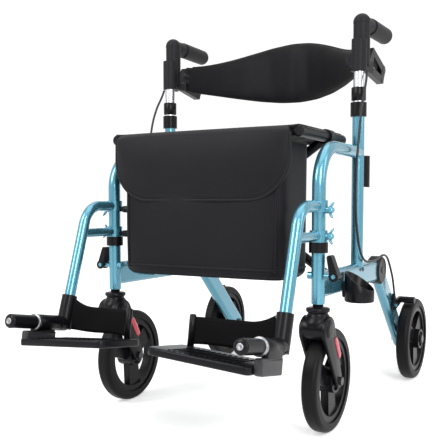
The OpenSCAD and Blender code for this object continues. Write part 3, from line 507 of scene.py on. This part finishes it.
backSet = {
    "endX": 0.214, "y": rearY + 0.042, "bow": 0.175, "z": 0.740, "lift": 0.024, "midHigh": 0.142,
    "endHigh": 0.058, "midThick": 0.024, "endThick": 0.008, "crease": 0.0009, "stations": 97,
    "ring": 40, "keep": 0.3236, "pipeR": 0.002, "pipeAround": 8, "pipeEdges": (0.25, 0.75),
}


# The pad's cross-section is a rounded oblong that grows from the ends to the middle by a raised
# cosine; its middle line is a parabola bowed to the rear, and each section stands square to it.
def backRings(s):
    a = np.linspace(-1, 1, s["stations"])[:, None]
    k = np.linspace(0, 2 * np.pi, s["ring"], endpoint=False)
    c, d = np.cos(k), np.sin(k)
    slope = 2 * s["bow"] * a / s["endX"]
    steep = np.hypot(slope, 1.0)
    grow = np.maximum(0.0, 0.5 + 0.5 * np.cos(np.pi * a)) ** 0.7
    high = s["endHigh"] + (s["midHigh"] - s["endHigh"]) * grow
    thick = s["endThick"] + (s["midThick"] - s["endThick"]) * grow
    out = thick / 2 * np.sign(c) * np.abs(c) ** 0.75
    out = out + s["crease"] * np.sin(26 * a + 3) * np.cos(k * 2) * grow
    up = high / 2 * np.sign(d) * np.abs(d) ** 0.55
    x = a * s["endX"] + out * slope / steep
    y = s["y"] + s["bow"] * (1 - a * a) + out / steep
    return np.stack([x, y, s["z"] + s["lift"] * grow + up], -1)


rings = backRings(backSet)
stations, ringCount = backSet["stations"], backSet["ring"]
backFaces = turnedOver(gridFaces(stations, ringCount, False, True) + endFaces(stations, ringCount))
backPad = newPiece("backPad", rings.reshape(-1, 3), backFaces, padCloth)
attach(backPad, "handle_left")
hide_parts("backrest")
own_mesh(backPad)

# Piping along the pad's upper and lower edges.
edgeLines = [rings[2:-2, int(ringCount * share)] for share in backSet["pipeEdges"]]
edgeParts = [tubeMesh(line, backSet["pipeR"], backSet["pipeAround"]) for line in edgeLines]
backPiping = newPiece("backPiping", *joinMeshes(edgeParts), pipingCloth)
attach(backPiping, "handle_left")
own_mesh(backPiping)
print("stage: backrest made")


# The cable's route on the right-hand side, as in the CAD source, with its upper end run up to the
# handle.
cableSet = {"radius": 0.0025, "around": 12, "route": [
    (0.2517, -0.0585, 0.7106), (0.2537, -0.0675, 0.6920), (0.2557, -0.0865, 0.6620),
    (0.2557, -0.1045, 0.6220), (0.2557, -0.1185, 0.5600), (0.2557, -0.1285, 0.5150),
    (0.2557, -0.1325, 0.4700), (0.2557, -0.1305, 0.4250), (0.2557, -0.1205, 0.3850),
    (0.2547, -0.1025, 0.3500), (0.2547, -0.0785, 0.3260), (0.2537, -0.0485, 0.3160),
    (0.2537, -0.0105, 0.3140), (0.2537, 0.0295, 0.3160), (0.2537, 0.0655, 0.3220),
    (0.2537, 0.0995, 0.3160), (0.2547, 0.1235, 0.2920), (0.2567, 0.1401, 0.2619),
    (0.2577, 0.1501, 0.2319), (0.2587, 0.1561, 0.2139),
]}
cableMesh = tubeMesh(smoothLine(cableSet["route"]), cableSet["radius"], cableSet["around"])
for sideName, side in sides.items():
    cable = newPiece("brakeCable_" + sideName, *mirrored(*cableMesh, side), cableJacket)
    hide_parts("brake_cable_" + sideName)
    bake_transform(cable)
print("stage: cables made")


# The footplate's own frame: the origin lies on its pivot, and it is tipped nose-up.
plateSet = {
    "pivot": (sideX, -0.441019, 0.201582), "tilt": math.radians(-10), "roll": math.radians(4),
    "pitch": math.radians(2), "top": -0.027, "thick": 0.013, "inner": -0.188, "outer": 0.004,
    "front": -0.118, "notch": (-0.024, -0.020), "radii": (0.014, 0.010, 0.003, 0.003, 0.012, 0.014),
    "edge": 0.0025, "barrelR": 0.015, "barrel": (-0.082, -0.020), "barrelEdge": 0.0012,
    "boreR": 0.0063, "barrelAround": 48, "webX": (0.002, 0.0145), "webY": (-0.0785, -0.0205),
    "webZ": (-0.021, 0.0), "webR": 0.003, "webEdge": 0.001, "postR": 0.006, "postEdge": 0.002,
    "postSunk": 0.003, "postAround": 32, "block": (-0.098, -0.020, -0.045, -0.0168),
    "blockX": (0.0, 0.0152), "blockRadii": (0.008, 0.004, 0.002, 0.004), "blockEdge": 0.003,
}


# Points on the plate itself are first rolled and pitched, because it lies a little flatter than its
# pivot and its inner end stands higher.
def fromPlate(points, side, onPlate=False):
    x, y, z = np.array(points, float).T
    if onPlate:
        c, d = math.cos(plateSet["roll"]), math.sin(plateSet["roll"])
        x, z = x * c + z * d, z * c - x * d
    tilt = plateSet["tilt"] + (plateSet["pitch"] if onPlate else 0)
    c, d = math.cos(tilt), math.sin(tilt)
    out = np.stack([x, y * c - z * d, y * d + z * c], 1) + plateSet["pivot"]
    return out * [side, 1, 1]


def rectangle(x0, x1, y0, y1):
    return [(x0, y0), (x1, y0), (x1, y1), (x0, y1)]


# The footplate: a thin slab with a notch for the socket, a web up to the barrel, the barrel round
# the pivot pin and the strap's post.
def plateMesh(s, side, post, postTop):
    outX, outY = s["notch"]
    corners = [(s["inner"], s["front"]), (s["outer"], s["front"]), (s["outer"], outY), (outX, outY),
               (outX, 0), (s["inner"], 0)]
    outline = roundedOutline(corners, s["radii"])
    v, f = slabMesh(outline, s["top"] - s["thick"], s["top"], s["edge"])
    slab = fromPlate(v, side, True), f
    webOutline = roundedOutline(rectangle(*s["webX"], *s["webY"]), [s["webR"]] * 4)
    web = slabMesh(webOutline, *s["webZ"], s["webEdge"])
    y0, y1 = s["barrel"]
    r, bore, soft = s["barrelR"], s["boreR"], s["barrelEdge"]
    turned = [(bore, y0), (r - soft, y0), (r, y0 + soft), (r, y1 - soft), (r - soft, y1),
              (bore, y1), (bore, y0)]
    barrel = latheMesh(turned, (0, 0, 0), (0, 1, 0), s["barrelAround"])
    foot = s["top"] - post[0] * math.sin(s["roll"]) - s["postSunk"]
    pin = [(0.0, foot), (s["postR"], foot), (s["postR"], postTop - s["postEdge"]),
           (s["postR"] - s["postEdge"], postTop), (0.0, postTop)]
    upright = [web, barrel, latheMesh(pin, (*post, 0), (0, 0, 1), s["postAround"])]
    verts, faces = joinMeshes([slab] + [(fromPlate(v, side), f) for v, f in upright])
    return verts, facing(faces, side)


# The block under the barrel that closes the plate's outer end: a slab with its outline seen from
# the side. Its paler grey than the plate is painted light, standing in for the light its face
# catches.
def blockMesh(s, side):
    outline = roundedOutline(rectangle(*s["block"]), s["blockRadii"])
    v, f = slabMesh(outline, *s["blockX"], s["blockEdge"])
    return fromPlate(v[:, [2, 0, 1]], side), facing(f, side)


strapSet = {
    "post": (-0.166, -0.014), "postOver": 0.004, "socket": (-0.016, 0.004), "from": 0.0063,
    "bow": 0.008, "z0": -0.011, "high": 0.062, "low": 0.048, "rise": 0.046, "thick": 0.003,
    "wave": 0.001, "ripple": 0.0006, "along": 49, "up": 9, "still": (-0.018, 0.01, 0.018),
    "moved": (-0.10, 0.01, 0.018),
}


# The heel strap: a band from the plate's post to the socket, bowed to the rear; its upper edge is
# low along most of it and rises in an arc to the socket, its lower edge is slightly waved.
def strapMesh(s, side):
    post, run = np.array(s["post"]), np.array(s["socket"]) - np.array(s["post"])
    length = np.hypot(*run)
    ahead = run / length
    away = np.array([-ahead[1], ahead[0]])
    k = np.linspace(0, 1, s["along"])[:, None]
    v = np.linspace(0, 1, s["up"])
    at = s["from"] + (length - s["from"]) * k
    bow = s["bow"] * (1 - (2 * k - 1) ** 2)
    near = np.clip(1 - (length - at) / s["rise"], 0, 1)
    high = s["low"] + (s["high"] - s["low"]) * near ** 2
    z = s["z0"] + high * v + s["wave"] * np.sin(7 * k) * (1 - v)
    out = bow * (0.9 + 0.2 * v) + s["ripple"] * np.sin(9 * k + 4 * v)
    middle = post + ahead * at[..., None] + away * out[..., None]
    half = away * s["thick"] / 2
    front, rear = (np.concatenate([middle + way * half, z[..., None]], -1) for way in (-1, 1))
    verts = np.concatenate([front, rear[:, ::-1]], 1).reshape(-1, 3)
    faces = gridFaces(s["along"], 2 * s["up"], False, True) + endFaces(s["along"], 2 * s["up"])
    return fromPlate(verts, side), facing(faces, side)


ribSet = {"count": 12, "x": (-0.150, -0.034), "y": (-0.106, -0.026), "half": 0.0022, "high": 0.0012,
          "steps": 6, "around": 8}


# Raised ribs on the plate: low bars with a rounded top, side by side.
def ribMesh(s, side):
    parts = []
    y = np.linspace(*s["y"], s["steps"])
    for x in np.linspace(*s["x"], s["count"]):
        line = np.column_stack([np.full_like(y, x), y, np.full_like(y, plateSet["top"])])
        parts.append(tubeMesh(line, s["half"], s["around"], scale=(1.0, s["high"] / s["half"])))
    verts, faces = joinMeshes(parts)
    return fromPlate(verts, side, True), facing(faces, side)


# Turned pieces on the plate's pivot, each from a place on its axis towards the front: a bright ring
# between barrel and end cap, a rounded nose on the cap, and a screw in the nose.
pivotSet = {
    "ring": {"y": -0.0795, "around": 40, "profile": [
        (0.0, 0.0), (0.0155, 0.0), (0.0160, 0.0006), (0.0160, 0.0044), (0.0155, 0.005),
        (0.0, 0.005)]},
    "nose": {"y": -0.1438, "around": 40, "profile": [
        (0.0130, 0.0), (0.0126, 0.0014), (0.0112, 0.0028), (0.0075, 0.0038), (0.0, 0.0040)]},
    "screw": {"y": -0.1438, "around": 32, "profile": [
        (0.0058, 0.0030), (0.0058, 0.0046), (0.0050, 0.0054), (0.0028, 0.0056), (0.0026, 0.0048),
        (0.0, 0.0048)]},
}


def pivotMesh(s, side):
    start, ahead = fromPlate([(0, s["y"], 0), (0, s["y"] - 0.005, 0)], side)
    return latheMesh(s["profile"], start, ahead - start, s["around"])


for sideName, side in sides.items():
    strap = newPiece("heelStrap_" + sideName, *strapMesh(strapSet, side), webbing)
    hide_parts("heel_strap_" + sideName)
    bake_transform(strap)

    postTop = strapSet["z0"] + strapSet["low"] + strapSet["postOver"]
    footMesh = plateMesh(plateSet, side, strapSet["post"], postTop)
    plate = newPiece("footPlate_" + sideName, *footMesh, blackPlastic)
    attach(plate, "plate_" + sideName)
    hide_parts("footplate_" + sideName)

    block = newPiece("hingeBlock_" + sideName, *blockMesh(plateSet, side), greyPlastic)
    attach(block, "plate_" + sideName)

    ribs = newPiece("plateRibs_" + sideName, *ribMesh(ribSet, side), blackPlastic)
    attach(ribs, "plate_" + sideName)

    bright = newPiece("pivotRing_" + sideName, *pivotMesh(pivotSet["ring"], side), satinSteel)
    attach(bright, "footrest_" + sideName)

    cap = newPiece("pivotNose_" + sideName, *pivotMesh(pivotSet["nose"], side), blackPlastic)
    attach(cap, "footrest_" + sideName)

    screw = newPiece("pivotScrew_" + sideName, *pivotMesh(pivotSet["screw"], side), satinSteel)
    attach(screw, "footrest_" + sideName)
print("stage: footrest pieces made")


# The crown's profile runs from the dome's underside up over the neck and the flange to the stem.
forkSet = {
    "crown": (frontY - 0.003, 0.204), "crownR": 0.027, "foot": (frontY + 0.051, 0.100),
    "footR": 0.014, "gap": 0.019, "out": 0.026, "edge": 0.0025, "bulb": (frontY - 0.007, 0.208),
    "bulbR": 0.0215, "bulbHalf": 0.030, "bulbEdge": 0.012, "bulbSteps": 9, "around": 64,
    "profile": [
        (0.0, 0.2065), (0.0240, 0.2065), (0.0280, 0.2110), (0.0288, 0.2160), (0.0275, 0.2220),
        (0.0240, 0.2280), (0.0205, 0.2320), (0.0188, 0.2350), (0.0190, 0.2370), (0.0210, 0.2384),
        (0.0222, 0.2398), (0.0222, 0.2440), (0.0212, 0.2454), (0.0195, 0.2460), (0.0100, 0.2460),
        (0.0100, 0.2526), (0.0060, 0.2526), (0.0060, 0.2940), (0.0, 0.2940),
    ],
}


# The caster fork: two arms tapering to the axle, a rounded bulb over the front of the wheel, and a
# domed crown with a neck and a flange turned round the stem.
def forkMesh(s, side):
    parts = [latheMesh(s["profile"], (side * sideX, frontY, 0), (0, 0, 1), s["around"])]
    arm = twoCircleOutline(s["crown"], s["crownR"], s["foot"], s["footR"])
    bulb = twoCircleOutline(s["bulb"], s["bulbR"], s["bulb"], s["bulbR"])
    slabs = [slabMesh(arm, s["gap"], s["out"], s["edge"]),
             slabMesh(arm, -s["out"], -s["gap"], s["edge"]),
             slabMesh(bulb, -s["bulbHalf"], s["bulbHalf"], s["bulbEdge"], s["bulbSteps"])]
    for v, f in slabs:
        parts.append((np.column_stack([side * sideX + v[:, 2], v[:, 0], v[:, 1]]), f))
    return joinMeshes(parts)


for sideName, side in sides.items():
    fork = newPiece("forkBody_" + sideName, *forkMesh(forkSet, side), blackPlastic)
    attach(fork, "caster_" + sideName)
    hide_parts("caster_fork_" + sideName)
print("stage: forks made")


cupSet = {
    "r": 0.029, "wall": 0.003, "floor": 0.004, "mid": 0.041, "slope": 0.018, "bevel": 0.0008,
    "rimSoft": 0.0012, "baseSoft": 0.003, "floorSoft": 0.002, "around": 72,
    "arm": (-0.016, 0.016, 0.008, 0.038), "armR": 0.006, "armInto": 0.006, "armEdge": 0.003,
}


# The cane cup: walls turned round an upright axis, with a rim that falls towards the outer side by
# the cosine of the angle, and an arm to the frame.
def cupMesh(s, low, high):
    r, inner, bevel = s["r"], s["r"] - s["wall"], s["bevel"]
    a = np.linspace(0, 2 * np.pi, s["around"], endpoint=False)
    rim = s["mid"] - s["slope"] * np.cos(a)
    base, floor = np.zeros_like(a), np.full_like(a, s["floor"])
    rows = [(0.0, base), (r - s["baseSoft"], base), (r - bevel, base + bevel),
            (r, base + s["baseSoft"]), (r, rim - s["rimSoft"]), (r - bevel, rim),
            (inner + bevel, rim), (inner, rim - s["rimSoft"]), (inner, floor + s["floorSoft"]),
            (inner - s["floorSoft"], floor), (0.0, floor)]
    middle = np.array([high[0] - r, (low[1] + high[1]) / 2, low[2]])
    walls = [middle + np.column_stack([k * np.cos(a), k * np.sin(a), z]) for k, z in rows]
    cup = np.concatenate(walls), turnedOver(gridFaces(len(rows), s["around"], False, True))
    outline = roundedOutline(rectangle(*s["arm"]), [s["armR"]] * 4)
    v, f = slabMesh(outline, low[0], middle[0] - r + s["armInto"], s["armEdge"])
    arm = np.column_stack([v[:, 2], v[:, 0] + middle[1], v[:, 1] + middle[2]]), f
    return joinMeshes([cup, arm])


cup = newPiece("caneCup", *cupMesh(cupSet, *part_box("cane_cup")), blackPlastic)
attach(cup, "right_frame")
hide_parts("cane_cup")
print("stage: cane cup made")


wingSet = {
    "heights": (0.426, 0.378), "x": sideX + 0.0168, "root": 0.003, "reach": 0.0085, "sweep": 0.004,
    "rise": 0.0115, "size": (0.0028, 0.0035, 0.0040, 0.0043, 0.0040, 0.0031, 0.0013), "flat": 0.55,
    "around": 12, "bossAround": 24,
    "boss": [(0.0, -0.004), (0.0060, -0.004), (0.0065, 0.000), (0.0060, 0.009), (0.0035, 0.0125),
             (0.0, 0.0125)],
}


# A wing nut: a round boss with two rounded wings, its axis along X.
def wingMesh(s, side, height):
    place = np.array([side * s["x"], frontY, height])
    parts = [latheMesh(s["boss"], place, (side, 0, 0), s["bossAround"])]
    k = np.linspace(0, 1, len(s["size"]))
    for way in (-1, 1):
        out, along, up = s["root"] + s["reach"] * k, s["sweep"] * k, s["root"] + s["rise"] * k
        line = place + np.column_stack([side * out, way * along, way * up])
        parts.append(tubeMesh(line, s["size"], s["around"], scale=(s["flat"], 1.0), up=(0, 1, 0)))
    return joinMeshes(parts)


knobSet = {
    "heights": (0.426, 0.374), "x": sideX - 0.0160, "around": 28,
    "profile": [(0.0, 0.0), (0.0050, 0.0), (0.0052, 0.006), (0.0068, 0.008), (0.0072, 0.010),
                (0.0072, 0.022), (0.0062, 0.024), (0.0, 0.0245)],
}


# A black inner knob of the hanger's clamps, turned round an axis along X.
def knobMesh(s, side, height):
    return latheMesh(s["profile"], (side * s["x"], frontY, height), (-side, 0, 0), s["around"])


# The black guide ring on the telescoping tube, under the handle.
guideSet = {
    "low": 0.6517,
    "profile": [(0.0112, 0.0), (0.0142, 0.0), (0.0152, 0.0012), (0.0152, 0.0264), (0.0142, 0.0276),
                (0.0112, 0.0276)],
}

lensSet = {"low": (-0.2275, 0.146), "high": (-0.2525, 0.188), "out": 0.0262, "half": 0.0068,
           "flat": 0.32, "stations": 13, "around": 20}


# The red lenses along the rear edge of the fork's two arms: flattened tubes whose half width falls
# off at both ends like a superellipse of power 6.
def lensMesh(s, side):
    low, high = np.array(s["low"]), np.array(s["high"])
    run = np.linspace(0.02, 0.98, s["stations"])
    size = s["half"] * np.sqrt(np.clip(1 - (2 * run - 1) ** 6, 0.02, 1))
    path = low + (high - low) * np.linspace(0, 1, s["stations"])[:, None]
    parts = []
    for face in (-1, 1):
        line = np.column_stack([np.full(s["stations"], side * sideX + face * s["out"]), path])
        parts.append(tubeMesh(line, size, s["around"], scale=(1.0, s["flat"]), up=(1, 0, 0)))
    return joinMeshes(parts)


# Screw heads on the frame's outer side, as place and radius: the elbow's, and the rear post's at
# its foot. The profile gives shares of the radius, and heights.
screwSet = {
    "heads": [((sideX + 0.0150, elbowY, 0.287), 0.0075), ((sideX + 0.0130, rearY, 0.300), 0.0045)],
    "profile": [(1.0, 0.0), (1.0, 0.0014), (0.8, 0.0024), (0.45, 0.0027), (0.42, 0.0012),
                (0.0, 0.0012)],
    "around": 24,
}


# A small screw head with a hollow in its middle, turned round an axis along X.
def screwMesh(s, side, place, radius):
    profile = np.array(s["profile"]) * [radius, 1]
    return latheMesh(profile, np.array(place) * [side, 1, 1], (side, 0, 0), s["around"])


for sideName, side in sides.items():
    frameBody = sideName + "_frame"
    wings = joinMeshes([wingMesh(wingSet, side, height) for height in wingSet["heights"]])
    nuts = newPiece("wingNuts_" + sideName, *wings, bluePaint)
    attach(nuts, "footrest_" + sideName)

    knobs = joinMeshes([knobMesh(knobSet, side, height) for height in knobSet["heights"]])
    inner = newPiece("clampKnobs_" + sideName, *knobs, blackPlastic)
    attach(inner, "footrest_" + sideName)

    guide = latheMesh(guideSet["profile"], (side * sideX, rearY, guideSet["low"]), (0, 0, 1))
    ring = newPiece("guideRing_" + sideName, *guide, blackPlastic)
    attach(ring, "handle_" + sideName)

    lens = newPiece("forkLens_" + sideName, *lensMesh(lensSet, side), redLens)
    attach(lens, "caster_" + sideName)

    heads = joinMeshes([screwMesh(screwSet, side, *head) for head in screwSet["heads"]])
    screws = newPiece("frameScrews_" + sideName, *heads, darkSteel)
    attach(screws, frameBody)
print("stage: small pieces made")


# One where a ray comes from the camera or from a mirror-like or clear surface, nought elsewhere.
def sightOf(nodes, links):
    path = nodes.new("ShaderNodeLightPath")
    value = path.outputs["Is Camera Ray"]
    for kind in ("Is Glossy Ray", "Is Transmission Ray"):
        most = nodes.new("ShaderNodeMath")
        most.operation = "MAXIMUM"
        links.new(value, most.inputs[0])
        links.new(path.outputs[kind], most.inputs[1])
        value = most.outputs["Value"]
    return value


floorSet = {"half": 30, "white": 0.93, "near": 0.5, "far": 2.6, "nearLift": 0.42, "farLift": 0.80}
floorMesh = bpy.data.meshes.new("floor")
floorCorners = rectangle(-floorSet["half"], floorSet["half"], -floorSet["half"], floorSet["half"])
floorMesh.from_pydata([(x, y, 0) for x, y in floorCorners], [], [(0, 1, 2, 3)])
floor = bpy.data.objects.new("floor", floorMesh)
bpy.context.scene.collection.objects.link(floor)
floorWhite = shade("floorWhite", [floorSet["white"]] * 3, 0.9, specular=0.1)
floorNodes, floorLinks = floorWhite.node_tree.nodes, floorWhite.node_tree.links

# The lift to white is lower near the object, so that its shadow stays, and full further away.
away = addTexture(floorNodes, floorLinks, "ShaderNodeVectorMath")
away.operation = "LENGTH"
fade = addNode(floorNodes, "ShaderNodeMapRange", **{
    "From Min": floorSet["near"], "From Max": floorSet["far"],
    "To Min": floorSet["nearLift"], "To Max": floorSet["farLift"],
})
lift = floorNodes.new("ShaderNodeMath")
lift.operation = "MULTIPLY"
glow = floorNodes.new("ShaderNodeEmission")
both = floorNodes.new("ShaderNodeAddShader")
floorLinks.new(away.outputs["Value"], fade.inputs["Value"])
floorLinks.new(sightOf(floorNodes, floorLinks), lift.inputs[0])
floorLinks.new(fade.outputs["Result"], lift.inputs[1])
floorLinks.new(lift.outputs["Value"], glow.inputs["Strength"])
floorLinks.new(floorNodes["Principled BSDF"].outputs["BSDF"], both.inputs[0])
floorLinks.new(glow.outputs["Emission"], both.inputs[1])
floorLinks.new(both.outputs["Shader"], floorNodes["Material Output"].inputs["Surface"])
floorMesh.materials.append(floorWhite)

# The world lights the object softly, and is white where it is seen.
worldSet = {"ambient": 0.36, "seen": 1.05}
world = bpy.data.worlds.new("studio")
bpy.context.scene.world = world
world.use_nodes = True
worldNodes, worldLinks = world.node_tree.nodes, world.node_tree.links
white = (1, 1, 1, 1)
ambient = setSockets(worldNodes["Background"], {"Color": white, "Strength": worldSet["ambient"]})
seen = addNode(worldNodes, "ShaderNodeBackground", Color=white, Strength=worldSet["seen"])
pick = worldNodes.new("ShaderNodeMixShader")
worldLinks.new(sightOf(worldNodes, worldLinks), pick.inputs["Fac"])
worldLinks.new(ambient.outputs["Background"], pick.inputs[1])
worldLinks.new(seen.outputs["Background"], pick.inputs[2])
worldLinks.new(pick.outputs["Shader"], worldNodes["World Output"].inputs["Surface"])

lampSet = {
    "keyLight": {"place": (-1.3, -2.4, 2.2), "targetZ": 0.4, "size": (0.9, 1.8), "power": 62},
    "fillLight": {"place": (1.9, -2.1, 1.7), "targetZ": 0.4, "size": (0.7, 1.8), "power": 57},
    "topLight": {"place": (0.2, -0.2, 3.2), "targetZ": 0.3, "size": (3.0, 3.0), "power": 42},
    "sideLight": {"place": (2.6, 0.3, 1.7), "targetZ": 0.4, "size": (0.8, 1.8), "power": 16},
}
for lampName, s in lampSet.items():
    data = bpy.data.lights.new(lampName, "AREA")
    data.shape = "RECTANGLE"
    data.size, data.size_y = s["size"]
    data.energy = s["power"]
    lamp = bpy.data.objects.new(lampName, data)
    bpy.context.scene.collection.objects.link(lamp)
    lamp.location = s["place"]
    way = np.array([0, 0, s["targetZ"]]) - np.array(s["place"])
    tip = math.acos(-way[2] / np.linalg.norm(way))
    lamp.rotation_euler = (tip, 0, math.atan2(way[1], way[0]) - math.pi / 2)

# The camera as fitted to the photograph, looking down a little and turned to the left.
cameraSet = {"lens": 57.71, "shiftY": 0.065, "place": (0.7146, frontY - 1.2177, 0.4367),
             "down": 3.6, "turn": 29.46}
camera = bpy.data.objects.new("camera", bpy.data.cameras.new("camera"))
bpy.context.scene.collection.objects.link(camera)
bpy.context.scene.camera = camera
camera.data.sensor_width = 36.0
camera.data.lens = cameraSet["lens"]
camera.data.shift_y = cameraSet["shiftY"]
camera.location = cameraSet["place"]
camera.rotation_euler = (math.radians(90 - cameraSet["down"]), 0, math.radians(cameraSet["turn"]))
camera.data.clip_start, camera.data.clip_end = 0.05, 100.0
bpy.context.scene.view_settings.view_transform = "Standard"
print("stage: camera and light set")
